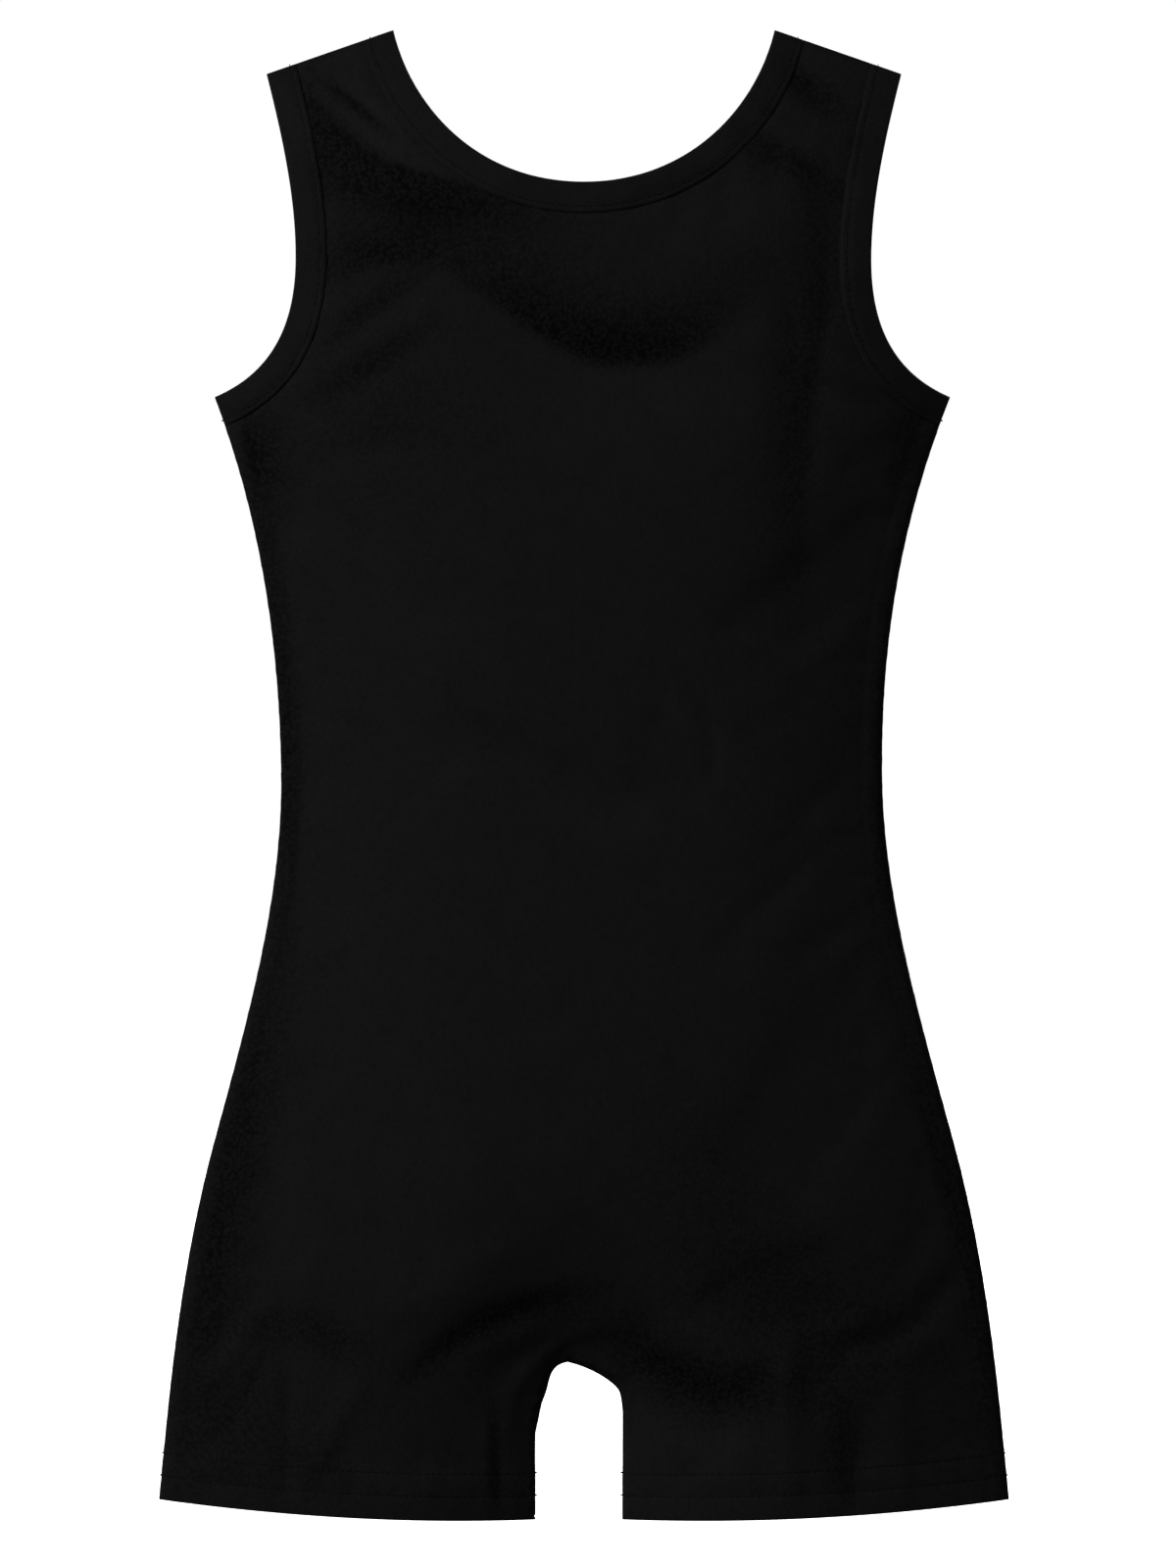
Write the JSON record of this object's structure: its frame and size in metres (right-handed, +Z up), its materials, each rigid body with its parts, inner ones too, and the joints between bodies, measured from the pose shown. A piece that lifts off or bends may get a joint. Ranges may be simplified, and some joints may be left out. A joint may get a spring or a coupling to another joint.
{
  "type": "gymnastics leotard",
  "caption": "Child's sleeveless short-legged gymnastics leotard in plain black stretch knit, with bound neck and armholes and turned-up, twin-stitched leg hems.",
  "frame": {"origin": "midway between the two shoulder tops, on the level that the garment hangs from", "axes": "+X to the wearer's left, -Y out of the front, +Z up towards the shoulders"},
  "size_m": [0.342, 0.0534, 0.6],
  "materials": {
    "body_knit": "black stretch knit, soft matt face with a faint sheen",
    "binding_knit": "the same black knit, folded and stretched round the edge",
    "elastic_tape": "matt black covered elastic",
    "lining_jersey": "soft matt black jersey",
    "sewing_thread": "black polyester thread, slightly glossy",
    "label_satin": "blank white satin label"
  },
  "bodies": {
    "root": {"armhole_binding_back_left": "binding_knit", "armhole_binding_back_right": "binding_knit", "armhole_binding_front_left": "binding_knit", "armhole_binding_front_right": "binding_knit", "armhole_elastic_back_left": "elastic_tape", "armhole_elastic_back_right": "elastic_tape", "armhole_elastic_front_left": "elastic_tape", "armhole_elastic_front_right": "elastic_tape", "armhole_topstitch_back_left": "sewing_thread", "armhole_topstitch_back_right": "sewing_thread", "armhole_topstitch_front_left": "sewing_thread", "armhole_topstitch_front_right": "sewing_thread", "back_panel": "body_knit", "care_label": "label_satin", "crotch_lining_back": "lining_jersey", "crotch_lining_front": "lining_jersey", "front_panel": "body_knit", "hem_topstitch_lower_back_left": "sewing_thread", "hem_topstitch_lower_back_right": "sewing_thread", "hem_topstitch_lower_front_left": "sewing_thread", "hem_topstitch_lower_front_right": "sewing_thread", "hem_topstitch_upper_back_left": "sewing_thread", "hem_topstitch_upper_back_right": "sewing_thread", "hem_topstitch_upper_front_left": "sewing_thread", "hem_topstitch_upper_front_right": "sewing_thread", "inseam_overlock": "sewing_thread", "neck_binding_back": "binding_knit", "neck_binding_front": "binding_knit", "neck_elastic_back": "elastic_tape", "neck_elastic_front": "elastic_tape", "neck_topstitch_back": "sewing_thread", "neck_topstitch_front": "sewing_thread", "shoulder_overlock_left": "sewing_thread", "shoulder_overlock_right": "sewing_thread", "shoulder_stay_tape_left": "elastic_tape", "shoulder_stay_tape_right": "elastic_tape", "side_overlock_left": "sewing_thread", "side_overlock_right": "sewing_thread"}
  },
  "joints": []
}
